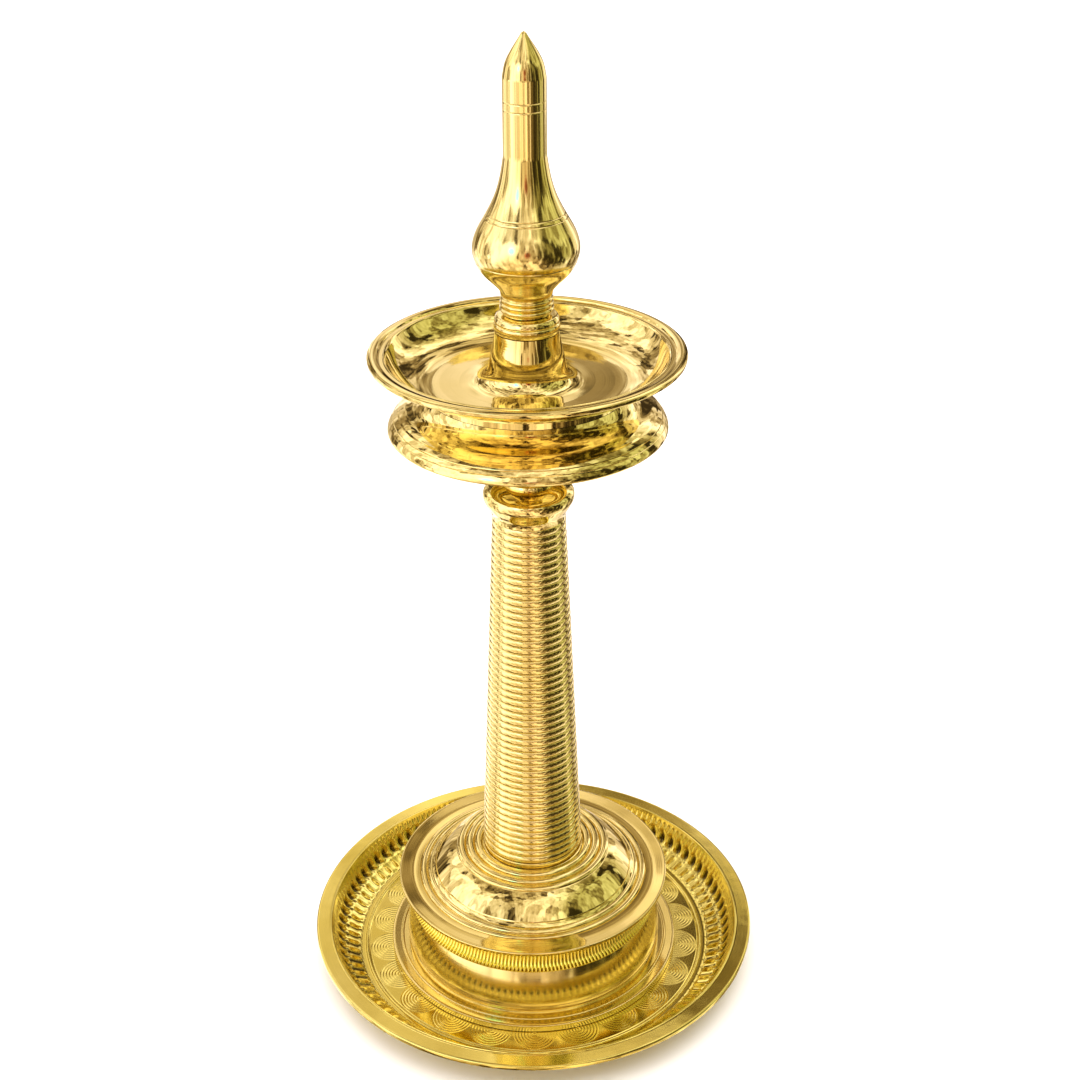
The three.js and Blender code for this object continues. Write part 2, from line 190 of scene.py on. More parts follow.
print("outline helpers ready; a bead of 4 steps has", len(bead((0, 0), (0, 2), 1, 4)), "points")

# %% [markdown]
# ## The lathe
#
# Blender has a Screw modifier that turns an outline, but it can't press flutes or
# cut reeds. So the lathe is a small function over numpy arrays: it lays a ring of
# vertices at each outline point, and a relief function may push every vertex in
# or out along the outline's own normal. Edges sharper than 35 degrees stay crisp,
# and the rest is shaded smooth.

# %% Turn an outline
MM = 0.001
CRISP = math.radians(35)


def outward(rz, closed):
    """The outline's normal at each point."""
    if closed:
        way = np.roll(rz, -1, axis=0) - np.roll(rz, 1, axis=0)
    else:
        way = np.gradient(rz, axis=0)
    out = np.stack([way[:, 1], -way[:, 0]], axis=1)
    return out / np.maximum(np.linalg.norm(out, axis=1, keepdims=True), 1e-9)


def turned(name, outline, sides, relief=None):
    """Swings an outline round Z. relief(radius, height, angle, out) gives the push at each vertex in mm."""
    rz = np.array(outline, float)
    closed = rz[0, 0] > 0
    rings = rz if closed else rz[1:-1]
    out = outward(rz, closed) if closed else outward(rz, closed)[1:-1]
    angle = np.linspace(0, 2 * math.pi, sides, endpoint=False)[None, :]
    radius, height = np.repeat(rings[:, :1], sides, 1), np.repeat(rings[:, 1:], sides, 1)
    push = relief(radius, height, angle, out[:, :1]) if relief else np.zeros_like(radius)
    radius, height = radius + push * out[:, :1], height + push * out[:, 1:]
    corners = np.stack([radius * np.cos(angle), radius * np.sin(angle), height], axis=2).reshape(-1, 3)
    count = len(rings)
    ring, side = np.meshgrid(np.arange(count if closed else count - 1), np.arange(sides), indexing="ij")
    above, beside = (ring + 1) % count, (side + 1) % sides
    quads = np.stack([ring * sides + side, ring * sides + beside, above * sides + beside,
                      above * sides + side], axis=2)
    faces = quads.reshape(-1, 4).tolist()
    corners = corners.tolist()
    if not closed:
        low, high, top = len(corners), len(corners) + 1, (count - 1) * sides
        corners += [[0, 0, rz[0, 1]], [0, 0, rz[-1, 1]]]
        faces += [[low, (j + 1) % sides, j] for j in range(sides)]
        faces += [[high, top + j, top + (j + 1) % sides] for j in range(sides)]
    mesh = bpy.data.meshes.new(name)
    mesh.from_pydata((np.array(corners) * MM).tolist(), [], faces)
    mesh.polygons.foreach_set("use_smooth", [True] * len(faces))
    mesh.set_sharp_from_angle(angle=CRISP)
    depth = np.zeros(len(corners))
    depth[: push.size] = np.maximum(-push.ravel(), 0)
    mesh.attributes.new("hollow", "FLOAT", "POINT").data.foreach_set("value", depth)
    piece = bpy.data.objects.new(name, mesh)
    bpy.context.scene.collection.objects.link(piece)
    return piece


def stand_for(piece, node, finish):
    piece.data.materials.append(finish)
    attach(piece, body_of[node])
    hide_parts(node)
    print(f"{piece.name}: {len(piece.data.polygons)} faces, rides on {body_of[node]}")


def size_of(node):
    """Outer radius, bottom and top of a solid in the frame, in millimetres."""
    low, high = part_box(node)
    return SimpleNamespace(radius=high.x / MM, bottom=low.z / MM, top=high.z / MM)


print("the bowl is", round(2 * size_of("oil_dish").radius, 1), "mm across")

# %% [markdown]
# ## Finishes
#
# Brass is a metal, so nearly all of its colour is in what it reflects. The base
# colour is the tint that it gives to white light. What tells polished brass from
# a yellow mirror is the making: the lathe leaves very fine rings round every
# piece, the buffing wheel softens them unevenly and leaves the surface faintly
# wavy, and the alloy is a little redder here and greener there. Shade is also
# painted into the base colour in cut and pressed hollows. The lathe function above
# stores how deep each vertex was pushed in, so the finish knows where a hollow is.
# All of this is one function that every finish shares, with its own tint, gloss and strengths.
# The tray adds one more mark, the fine circles cut into its floor.

# %% Node helpers
def add_node(tree, kind, inputs=None, **settings):
    """Adds a node, sets its properties, and fills its inputs with values or links."""
    node = tree.nodes.new(kind)
    for key, value in settings.items():
        setattr(node, key, value)
    for key, value in (inputs or {}).items():
        if isinstance(value, bpy.types.NodeSocket):
            tree.links.new(value, node.inputs[key])
        else:
            node.inputs[key].default_value = value
    return node


def maths(tree, operation, *values):
    """One Math node; its values are numbers or sockets."""
    return add_node(tree, "ShaderNodeMath", dict(enumerate(values)), operation=operation).outputs[0]


def mapped(tree, value, low, high):
    """Stretches a value from 0..1 to low..high."""
    node = add_node(tree, "ShaderNodeMapRange", {"Value": value, "To Min": low, "To Max": high})
    return node.outputs["Result"]


# %% Lathe rings, buffing and alloy
def lathe_rings(tree, spacing_mm):
    """A pattern that changes only with radius and height, so it runs round the piece as tool marks do."""
    place = add_node(tree, "ShaderNodeTexCoord").outputs["Object"]
    xyz = add_node(tree, "ShaderNodeSeparateXYZ", {0: place})
    radius = maths(tree, "SQRT", maths(tree, "ADD", maths(tree, "POWER", xyz.outputs[0], 2.0),
                                       maths(tree, "POWER", xyz.outputs[1], 2.0)))
    along = maths(tree, "ADD", radius, xyz.outputs[2])
    return add_node(tree, "ShaderNodeTexNoise", {"W": along, "Scale": 1 / (spacing_mm * MM), "Detail": 2.0},
                    noise_dimensions="1D").outputs[0]


def clouds(tree, size_mm, detail=3.0):
    """Soft uneven patches of about one size."""
    place = add_node(tree, "ShaderNodeTexCoord").outputs["Object"]
    noise = {"Vector": place, "Scale": 1 / (size_mm * MM), "Detail": detail}
    return add_node(tree, "ShaderNodeTexNoise", noise).outputs[0]


def dents(tree, size_mm):
    """The slow waviness that buffing by hand leaves, which bends every reflection a little."""
    return clouds(tree, size_mm, detail=1.0)


CIRCLE_SETS = 22
CIRCLE_CENTRES = 100
CIRCLE_PITCH = 2
CIRCLE_REACH = 14.2


def engine_turning(tree):
    """A wreath of sets of fine circles, as a rose engine cuts them, on the floor of the tray."""
    place = add_node(tree, "ShaderNodeTexCoord").outputs["Object"]
    xyz = add_node(tree, "ShaderNodeSeparateXYZ", {0: place})
    x, y, z = xyz.outputs
    radius = maths(tree, "SQRT", maths(tree, "ADD", maths(tree, "MULTIPLY", x, x),
                                       maths(tree, "MULTIPLY", y, y)))
    step = 2 * math.pi / CIRCLE_SETS
    turn = maths(tree, "DIVIDE", maths(tree, "ARCTAN2", y, x), step)
    local = maths(tree, "MULTIPLY", maths(tree, "SUBTRACT", maths(tree, "FRACT", turn), 0.5), step)
    along = maths(tree, "MULTIPLY", radius, maths(tree, "SINE", local))
    across = maths(tree, "SUBTRACT", maths(tree, "MULTIPLY", radius, maths(tree, "COSINE", local)),
                   CIRCLE_CENTRES * MM)
    distance = maths(tree, "SQRT", maths(tree, "ADD", maths(tree, "MULTIPLY", along, along),
                                         maths(tree, "MULTIPLY", across, across)))
    circles = maths(tree, "COSINE", maths(tree, "MULTIPLY", distance, 2 * math.pi / (CIRCLE_PITCH * MM)))
    inside = maths(tree, "MULTIPLY", maths(tree, "LESS_THAN", distance, CIRCLE_REACH * MM),
                   maths(tree, "GREATER_THAN", z, 1 * MM))
    return maths(tree, "MULTIPLY", circles, inside)


def brass(name, tint, deep_tint, gloss, rings_mm=0.9, ring_strength=0.04, stretch=0.5, waviness=0.08,
          hollow_shade=0.75, pattern=None):
    """One brass finish, as a material.

    tint and deep_tint are the two colours of the alloy. gloss is the lowest and
    highest roughness. stretch draws highlights out across the lathe rings.
    waviness is the strength of the buffing marks, and hollow_shade is how dark the
    painted shade in the hollows is. pattern adds one more mark to the surface.
    """
    finish = bpy.data.materials.new(name)
    finish.use_nodes = True
    tree = finish.node_tree
    shader = tree.nodes["Principled BSDF"]
    shader.inputs["Metallic"].default_value = 1.0
    shader.inputs["Anisotropic"].default_value = stretch
    shader.inputs["Anisotropic Rotation"].default_value = 0.25
    rings = lathe_rings(tree, rings_mm)
    alloy = add_node(tree, "ShaderNodeMix", {"Factor": mapped(tree, clouds(tree, 45), -0.4, 1.2),
                                             "A": (*tint, 1), "B": (*deep_tint, 1)}, data_type="RGBA")
    # Painted shade: the base colour is mixed towards near black where the lathe pushed a vertex in, and
    # deeper hollows are darker.
    depth = add_node(tree, "ShaderNodeAttribute", attribute_name="hollow").outputs["Fac"]
    painted_shade = maths(tree, "MINIMUM", maths(tree, "MULTIPLY", maths(tree, "POWER", depth, 1.5), hollow_shade), 0.93)
    dark = add_node(tree, "ShaderNodeMix", {"Factor": painted_shade, "A": alloy.outputs["Result"],
                                            "B": (0.05, 0.03, 0.01, 1)}, data_type="RGBA")
    tree.links.new(dark.outputs["Result"], shader.inputs["Base Color"])
    worn = maths(tree, "MULTIPLY", maths(tree, "ADD", rings, clouds(tree, 9)), 0.5)
    tree.links.new(mapped(tree, worn, gloss[0], gloss[1]), shader.inputs["Roughness"])
    marks = [(dents(tree, 16), waviness, 0.5), (rings, ring_strength, 0.2)]
    if pattern:
        marks.append((pattern(tree), 0.6, 0.1))
    for height, strength, deep_mm in marks:
        bump = add_node(tree, "ShaderNodeBump", {"Height": height, "Strength": strength,
                                                 "Distance": deep_mm * MM})
        if shader.inputs["Normal"].links:
            tree.links.new(shader.inputs["Normal"].links[0].from_socket, bump.inputs["Normal"])
        tree.links.new(bump.outputs[0], shader.inputs["Normal"])
    tangent = add_node(tree, "ShaderNodeTangent", direction_type="RADIAL", axis="Z")
    tree.links.new(tangent.outputs[0], shader.inputs["Tangent"])
    return finish


PALE, DEEP = (0.88, 0.74, 0.31), (0.80, 0.65, 0.20)
buffed_brass = brass("buffed_brass", PALE, DEEP, (0.02, 0.09))
turned_brass = brass("turned_brass", PALE, DEEP, (0.06, 0.16), stretch=0.7)
soft_brass = brass("soft_brass", PALE, DEEP, (0.10, 0.17))
tray_brass = brass("tray_brass", (0.86, 0.74, 0.22), (0.78, 0.65, 0.13), (0.04, 0.13), rings_mm=0.7,
                   waviness=0.15, pattern=engine_turning)
reed_brass = brass("reed_brass", (0.96, 0.80, 0.14), (0.90, 0.73, 0.10), (0.12, 0.22), hollow_shade=0.28)
cut_brass = brass("cut_brass", (0.76, 0.58, 0.25), (0.66, 0.48, 0.18), (0.22, 0.38), rings_mm=0.35,
                  ring_strength=0.12)
print("finishes:", [m.name for m in bpy.data.materials if m.name.endswith("brass")])

# %% [markdown]
# ## The base
#
# The base is three castings. The foot is an open-bottomed drum on a flat ring.
# Over it sits a separate reeded ring, which leans in as it rises. The dome, with
# its wide flange, covers both and steps up to the column in three rounded rings.

# %% Foot ring and drum
ROUND_SIDES = 256
CLEARANCE = 0.3
WALL = 3.2
FLANGE_OVERHANG = 3.9
BAND_LEAN = 5.5
BAND_WALL = 2.2
foot, band, dome = size_of("base_foot"), size_of("reeded_band"), size_of("base_dome")
DRUM_RADIUS = dome.radius - FLANGE_OVERHANG
BAND_TOP_RADIUS = band.radius - BAND_LEAN


def make_foot():
    b = foot.bottom
    ledge = b + 4.6
    shoulder = b + 34.4
    seat, lid = band.bottom - CLEARANCE, band.top + CLEARANCE
    waist = BAND_TOP_RADIUS - 2.5
    drum = sweep([(DRUM_RADIUS - 2.6, ledge), (DRUM_RADIUS - 0.9, ledge + 3.2), (DRUM_RADIUS, ledge + 7.4),
                  (DRUM_RADIUS - 0.2, ledge + 11.0), (DRUM_RADIUS - 1.0, ledge + 15.6),
                  (DRUM_RADIUS - 2.3, ledge + 20.6), (DRUM_RADIUS - 4.0, ledge + 26.0),
                  (band.radius - 2.8, seat - 0.3)], 44)
    cove = sweep([(BAND_TOP_RADIUS, lid), (BAND_TOP_RADIUS + 0.3, lid + 2.6),
                  (BAND_TOP_RADIUS + 2.0, lid + 6.0), (BAND_TOP_RADIUS + 5.2, foot.top)], 18)
    outline = [
        (foot.radius - WALL, b), (foot.radius, b, 0.5), (foot.radius, ledge, 0.7),
        (foot.radius - 1.6, ledge + 0.1), (foot.radius - 5.9, ledge - 0.35),
        *bead((foot.radius - 6.3, ledge - 0.35), (foot.radius - 7.9, ledge - 0.35), 0.65, 6),
        (foot.radius - 8.3, ledge - 0.4), (DRUM_RADIUS - 0.9, ledge - 0.4, 0.4),
        (DRUM_RADIUS - 1.5, ledge - 1.1, 0.3), (DRUM_RADIUS - 2.6, ledge - 1.1, 0.4),
        *drum, (band.radius - 3.1, seat), (waist, seat), (waist, lid),
        *cove, (waist - WALL, foot.top), (waist - WALL, seat - WALL),
        (DRUM_RADIUS - WALL - 1.6, shoulder - WALL), (DRUM_RADIUS - WALL, b + 19),
        (DRUM_RADIUS - WALL - 2.8, ledge - 1.5)]
    return turned("foot_and_drum", eased(outline), ROUND_SIDES)


stand_for(make_foot(), "base_foot", soft_brass)

# %% [markdown]
# The reeds are cut with a round-nosed tool, so each is a half-round with a sharp
# valley on either side. Their lower ends run out over the flare of the ring, where
# the tool leaves small pockets between them, darkened with painted shade.

# %% Reeded ring
REEDS = 204
REED_DEPTH = 0.75
REED_SIDES = REEDS * 8


def reeds(radius, height, angle, out):
    share = (height - band.bottom) / (band.top - band.bottom)
    across = np.abs(np.sin(angle * REEDS / 2))
    face = (radius > BAND_TOP_RADIUS - 0.6) & (share > 0.02) & (share < 0.985)
    start = np.clip((share - 0.02) / 0.12, 0, 1)
    end = np.clip((0.985 - share) / 0.05, 0, 1)
    pocket = 0.9 * np.exp(-(((share - 0.12) / 0.07) ** 2)) * (across < 0.45)
    return face * -(REED_DEPTH * (1 - across**0.55) * start * end + pocket * start)


def make_reeds():
    face = sweep([(band.radius, band.bottom + 0.5), (band.radius - 2.7, band.bottom + 2.8),
                  (BAND_TOP_RADIUS + 1.1, band.bottom + 6.1), (BAND_TOP_RADIUS, band.top)], 26)
    back = BAND_TOP_RADIUS - BAND_WALL
    outline = [(back, band.bottom), (band.radius - 0.2, band.bottom), *face, (back, band.top)]
    return turned("reeded_ring", outline, REED_SIDES, reeds)


stand_for(make_reeds(), "reeded_band", reed_brass)

# %% Dome, beads and flange
RING_WIDTH = 5.95
RING_RISE = 1.1
DOME_RINGS = 3
BORE = 7.75


def make_dome():
    flat = dome.bottom + 1.6
    rings_end = size_of("column_ring").radius + 0.6
    crown = rings_end + DOME_RINGS * RING_WIDTH
    skirt_edge = crown + 14.5
    bead_edge = skirt_edge + 10.6
    top = dome.bottom + 23.6
    crown_height = top - 3.3
    flange = sweep([(dome.radius - 0.9, dome.bottom + 2.5), (dome.radius - 5, dome.bottom + 2.05),
                    (bead_edge + 5, flat + 0.05), (bead_edge + 0.5, flat)], 14)
    shoulder = sweep([(skirt_edge - 0.2, flat + 5.0), (skirt_edge - 2.6, flat + 7.9),
                      (skirt_edge - 6.4, flat + 12.1), (skirt_edge - 10.4, flat + 15.8),
                      (crown, crown_height)], 30)
    outline = [
        (BORE, top - 14), (24, top - 14, 0.8), (27, crown_height - WALL), (crown - WALL, crown_height - WALL),
        (skirt_edge - WALL, flat + 2), (skirt_edge - WALL, dome.bottom),
        (dome.radius, dome.bottom, 0.5), (dome.radius, dome.bottom + 2.5, 0.7), *flange,
        (bead_edge + 0.1, flat - 0.4), *bead((bead_edge, flat), (bead_edge - 4.3, flat + 0.3), 1.25, 12),
        (bead_edge - 4.6, flat + 0.1),
        *bead((bead_edge - 4.9, flat + 0.4), (skirt_edge + 2.6, flat + 2.6), 0.8, 8),
        *sweep([(skirt_edge + 2.3, flat + 2.6), (skirt_edge + 1.2, flat + 3.5),
                (skirt_edge + 0.2, flat + 4.6)], 6),
        (skirt_edge - 0.1, flat + 4.5), *shoulder]
    for k in range(DOME_RINGS):
        foot_of_ring = (crown - k * RING_WIDTH - 0.15, crown_height + RING_RISE * k + 0.05)
        end_of_ring = (crown - (k + 1) * RING_WIDTH + 0.15, crown_height + RING_RISE * (k + 1) - 0.1)
        outline += [*bead(foot_of_ring, end_of_ring, 1.9, 14), (end_of_ring[0] - 0.15, end_of_ring[1] - 0.25)]
    outline += [(rings_end - 0.6, top), (BORE, top)]
    return turned("dome_and_flange", eased(outline), ROUND_SIDES)


stand_for(make_dome(), "base_dome", buffed_brass)

# %% [markdown]
# ## What clamps the base
#
# A threaded stud stands up through the dome. A washer and a hexagon nut hold it
# from below, out of sight. A screw thread can't be one swung outline, because it
# climbs as it turns, so the relief function adds it: the push in depends on the
# height less one pitch for each turn.

# %% Studs with a climbing thread
PITCH = 2.5
THREAD_DEPTH = 0.85
THREAD_SIDES = 48


def make_stud(name, node):
    stud = size_of(node)

    def thread(radius, height, angle, out):
        turn = (height / PITCH - angle / (2 * math.pi)) % 1.0
        flank = np.abs(2 * turn - 1)
        ends = np.clip(np.minimum(height - stud.bottom, stud.top - height) / 1.6, 0, 1)
        return (out > 0.7) * ends * -THREAD_DEPTH * np.clip(1.15 * flank - 0.05, 0, 1)

    rows = int((stud.top - stud.bottom - 2.4) / PITCH * 8)
    heights = np.linspace(stud.bottom + 1.2, stud.top - 1.2, rows)
    outline = [(0, stud.bottom), (stud.radius - 1.2, stud.bottom), *[(stud.radius, z) for z in heights],
               (stud.radius - 1.2, stud.top), (0, stud.top)]
    return turned(name, outline, THREAD_SIDES, thread)


for name, node in (("base_screw", "base_stud"), ("knop_screw", "knop_stud"), ("finial_screw", "finial_stud")):
    stand_for(make_stud(name, node), node, cut_brass)


# %% Washer and nut
def make_washer():
    washer = size_of("base_washer")
    outline = [(BORE, washer.bottom, 0.2), (washer.radius, washer.bottom, 0.35),
               (washer.radius, washer.top, 0.35), (BORE, washer.top, 0.2)]
    return turned("flat_washer", eased(outline), 96)


def make_nut():
    nut = size_of("base_nut")
    chamfer = 1.3
    level = np.linspace(0, 1, 4)
    low_edge = [(nut.radius - chamfer * (1 - u) * 1.7, nut.bottom + chamfer * u) for u in level]
    high_edge = [(nut.radius - chamfer * u * 1.7, nut.top - chamfer * (1 - u)) for u in level]
    outline = [(BORE, nut.bottom), *low_edge, *high_edge, (BORE, nut.top)]
    piece = turned("hexagon_nut", outline, 192)
    half_across = nut.radius * math.cos(math.pi / 6) * MM
    for corner in piece.data.vertices:
        radius = math.hypot(corner.co.x, corner.co.y)
        sector = math.atan2(corner.co.y, corner.co.x) % (math.pi / 3) - math.pi / 6
        corner.co.xy *= min(1, half_across / math.cos(sector) / radius)
    piece.data.set_sharp_from_angle(angle=CRISP)
    return piece


stand_for(make_washer(), "base_washer", cut_brass)
stand_for(make_nut(), "base_nut", cut_brass)

# %% [markdown]
# ## The column
#
# The column tapers upwards and has 51 half-round ribs, all the same height. Only
# the radius changes. Each rib is part of an ellipse: shallow over the crest and
# steep into the groove, which gives the thin dark line between two bright ribs.

# %% Ribbed column
RIBS = 51
RIB_DEPTH = 0.95
RIB_STEPS = 9
COLUMN_SIDES = 128
COLUMN_TOP_RADIUS = 22.8
COLUMN_WALL = 3.6
WEB = 10
column = size_of("column")


def make_column():
    taper = (column.radius - COLUMN_TOP_RADIUS) / (column.top - column.bottom)
    pitch = (column.top - column.bottom) / RIBS
    outline = [(BORE, column.bottom), (column.radius - RIB_DEPTH, column.bottom)]
    for rib in range(RIBS):
        for k in range(RIB_STEPS):
            turn = math.pi * (k + 0.5) / RIB_STEPS
            height = column.bottom + pitch * (rib + 0.5 - 0.5 * math.cos(turn))
            crest = column.radius - taper * (height - column.bottom)
            outline.append((crest - RIB_DEPTH * (1 - math.sin(turn) ** 0.9), height))
    web_top = column.bottom + WEB
    outline += [(COLUMN_TOP_RADIUS - RIB_DEPTH, column.top), (COLUMN_TOP_RADIUS - COLUMN_WALL, column.top),
                (column.radius - WEB * taper - COLUMN_WALL, web_top), (BORE, web_top)]
    return turned("ribbed_column", outline, COLUMN_SIDES)


def make_seat_ring(name, node, outer_ease):
    ring = size_of(node)
    outline = [(BORE, ring.bottom), (ring.radius, ring.bottom, outer_ease),
               (ring.radius, ring.top, outer_ease), (BORE, ring.top)]
    return turned(name, eased(outline), 160)


stand_for(make_column(), "column", turned_brass)
stand_for(make_seat_ring("plain_ring", "column_ring", 0.6), "column_ring", buffed_brass)

# %% Knop
knop = size_of("knop")
bowl_ring = size_of("bowl_ring")


def make_knop():
    b = column.top + CLEARANCE
    widest = b + 14
    ball = sweep([(COLUMN_TOP_RADIUS + 0.1, b + 1.0), (23.3, b + 3.2), (24.3, b + 5.4), (25.7, b + 7.7),
                  (27.0, b + 10.2), (27.9, b + 12.4), (knop.radius, widest), (27.6, widest + 2.7),
                  (25.5, widest + 5.1), (21.4, widest + 7.0), (16.8, widest + 8.0)], 56)
    spigot = COLUMN_TOP_RADIUS - COLUMN_WALL - CLEARANCE
    collar_top = widest + 11.4
    outline = [(BORE, b - 6), (spigot - 0.3, b - 6), (spigot, b), (COLUMN_TOP_RADIUS, b), *ball,
               (16.2, widest + 8.2), (16.3, widest + 9.6, 0.4), (15.5, collar_top, 0.5),
               (14.0, collar_top + 0.5), (13.8, collar_top + 2), (13.8, knop.top - 4.5),
               (bowl_ring.radius, knop.top - 1.6, 0.4), (bowl_ring.radius, knop.top, 0.3), (BORE, knop.top)]
    return turned("ball_knop", eased(outline), 192)


stand_for(make_knop(), "knop", buffed_brass)
stand_for(make_seat_ring("bowl_seat_ring", "bowl_ring", 0.5), "bowl_ring", buffed_brass)

# %% [markdown]
# ## The bowl
#
# The bowl is two castings soldered at the waist. The drip skirt below is a bell
# with a creased, turned-out lip. The dish above has a rounded rim with a groove
# inside it, a deep wall that curves into the floor, and a trumpet-shaped boss that
# the finial screws into.

# %% Drip skirt
FLARE = 23.5
skirt = size_of("skirt")
dish = size_of("oil_dish")


def make_skirt():
    lip, b, neck = skirt.radius, skirt.bottom, skirt.radius - FLARE
    brim = sweep([(lip - 0.3, b + 2.6), (lip - 1.6, b + 5.2), (lip - 3.7, b + 7.9),
                  (lip - 6.7, b + 10.6)], 18)
    bell = sweep([(lip - 7.3, b + 10.9), (neck + 12.3, b + 13.6), (neck + 8.2, b + 15.6),
                  (neck + 4.7, b + 17.9), (neck + 1.9, b + 20.9), (neck, skirt.top)], 30)
    inside = sweep([(neck - 3.8, skirt.top), (neck - 0.4, skirt.top - 6.4), (neck + 6.6, skirt.top - 11.4),
                    (lip - 8.1, b + 8.4)], 14)
    outline = [(lip - 2.5, b), (lip - 0.5, b, 0.2), (lip, b + 0.9, 0.4),
               *scored(brim, 0, (lip - 1.8, lip - 3.8)), *bell, *inside]
    return turned("drip_skirt", eased(outline), ROUND_SIDES)


stand_for(make_skirt(), "skirt", buffed_brass)

# %% Oil dish
BOSS_RADIUS = 18.8


def make_dish():
    r, floor = dish.radius, dish.bottom + 17.7
    under, rim = floor - 2.7, floor + 17.6
    neck = skirt.radius - FLARE
    outside = sweep([(neck, under + 1.6), (neck + 3, under + 3.2), (neck + 9, under + 5.2),
                     (neck + 17, under + 9.6), (neck + 24.2, rim - 4.6)], 26)
    brim = sweep([(r - 0.25, rim + 1.0), (r - 1.6, rim + 1.75), (r - 3.8, rim + 2.0),
                  (r - 6.2, rim + 1.5)], 12)
    wall = sweep([(r - 10.8, rim), (r - 13.4, rim - 4.7), (r - 17.7, rim - 10.0), (r - 23.8, rim - 14.3),
                  (r - 31.9, rim - 16.9), (r - 41.7, floor)], 40)
    boss = sweep([(40, floor), (34, floor + 0.25), (28.5, floor + 1.3), (25.1, floor + 3.9),
                  (22.9, floor + 9.5), (21.4, floor + 18), (20.2, floor + 23.2), (19.2, floor + 28.6),
                  (BOSS_RADIUS, dish.top)], 48)
    outline = [(BORE, dish.bottom), (16.5, dish.bottom, 0.4), (18, under), (neck - 3.8, under),
               (neck - 3.8, under - 2.5), (neck, under - 2.5), *outside, (r - 0.9, rim - 1.9, 0.5),
               (r, rim - 1.2, 0.4), (r, rim + 0.8, 0.3), *brim, (r - 6.6, rim + 0.5, 0.3),
               (r - 9.2, rim + 0.35, 0.5), (r - 9.8, rim + 0.9, 0.4), *wall, *boss, (BORE, dish.top)]
    return turned("oil_bowl", eased(outline), ROUND_SIDES)


stand_for(make_dish(), "oil_dish", buffed_brass)

# %% [markdown]
# ## The finial
#
# A turned collar sits on the boss. The finial itself starts with two small beads,
# swells into an onion bulb, thins into a straight stem and ends in a point. Pairs
# of fine lines are scored round the bulb and the stem.

# %% Collar and finial
collar, finial = size_of("finial_collar"), size_of("finial")


def make_collar():
    r, b, t = collar.radius, collar.bottom, collar.top
    outline = [(BORE, b), *bead((r - 0.7, b + 0.1), (r - 0.5, b + 5.2), 0.6, 8), (r - 0.8, b + 5.45),
               *bead((r - 0.6, b + 5.7), (r - 2.3, t - 0.3), 0.75, 8), (r - 3.2, t), (BORE, t)]
    return turned("neck_collar", outline, 160)


def make_finial():
    b, r = finial.bottom, finial.radius
    widest, stem_foot, point_foot = b + 39.5, b + 92, finial.top - 23
    stem = 12.4
    bulb = sweep([(15.2, b + 11.9), (15.5, b + 14.0), (17.3, b + 16.7), (21.6, b + 21.2), (26.6, b + 26.6),
                  (29.8, b + 33), (r, widest), (29.9, widest + 6), (27.4, widest + 12), (23.9, widest + 18),
                  (20.6, widest + 24), (17.8, widest + 30), (15.7, widest + 36), (14.2, widest + 42),
                  (13.1, widest + 48), (stem, stem_foot)], 110)
    straight = [(stem, stem_foot + 2), (stem - 0.1, point_foot - 1.2)]
    point = sweep([(12.0, point_foot + 0.5), (10.7, point_foot + 6.4), (7.5, point_foot + 12.9),
                   (4.3, point_foot + 17.8), (2.3, point_foot + 20.9), (1.1, point_foot + 22.5),
                   (0.2, finial.top)], 36)
    outline = [(0, b + 20), (BORE, b + 20), (BORE, b), (13.4, b), (14.2, b + 0.6),
               *bead((14.3, b + 1.9), (14.3, b + 4.9), 1.6, 8), (13.9, b + 5.1),
               *bead((14.3, b + 5.4), (14.3, b + 7.9), 1.3, 8), (13.9, b + 8.1),
               *bead((14.4, b + 8.3), (14.6, b + 10.6), 0.9, 8), (14.6, b + 11.2),
               *scored(bulb, 1, (widest - 7, widest + 18.2, widest + 20.5)),
               *scored(straight, 1, (point_foot - 18.4, point_foot - 13.8)),
               (12.2, point_foot - 0.5, 0.2), *point, (0, finial.top)]
    return turned("onion_finial", eased(outline), 192)


stand_for(make_collar(), "finial_collar", turned_brass)
stand_for(make_finial(), "finial", turned_brass)

# %% [markdown]
# ## The tray
#
# The tray is pressed from sheet. A press leaves its pattern on both faces, so the
# relief pushes the inside and the outside of the wall the same way. The wall is
# flatter low down and steeper above. Low on it, each flute is a rounded block
# that stands proud. Above the blocks is a row of deep slanted pits, and above
# the pits a row of small pips.

# %% Fluted tray
FLUTES = 96
TRAY_SIDES = FLUTES * 8
FLUTE_SLANT = 0.35
tray = size_of("tray")
SHEET = 1.6
LIP_WIDTH = 11
WALL_RUN = 18.6
LIP_INNER = tray.radius - LIP_WIDTH
FLOOR_EDGE = LIP_INNER - WALL_RUN


def flutes(radius, height, angle, out):
    share = (radius - FLOOR_EDGE) / (LIP_INNER - FLOOR_EDGE)
    wall = (share > 0.0) & (share < 1.0) & (np.abs(out) > 0.05)
    lean = 2 * math.pi * FLUTE_SLANT * np.clip(share - 0.5, 0, 1) / 0.5
    across = 0.5 + 0.5 * np.cos(angle * FLUTES - lean)
    rounded = np.sqrt(1 - (1 - across) ** 2) ** 0.8
    block = np.sqrt(np.clip(1 - ((share - 0.29) / 0.25) ** 2, 0, 1)) * rounded
    pit = np.clip(1 - np.abs(share - 0.68) / 0.15, 0, 1) ** 0.7 * (1 - across) ** 1.6
    pips = np.clip(1 - np.abs(share - 0.88) / 0.08, 0, 1) * np.cos(2 * angle * FLUTES)
    return np.sign(-out) * wall * (0.9 * block - 2.0 * pit + 0.25 * pips)


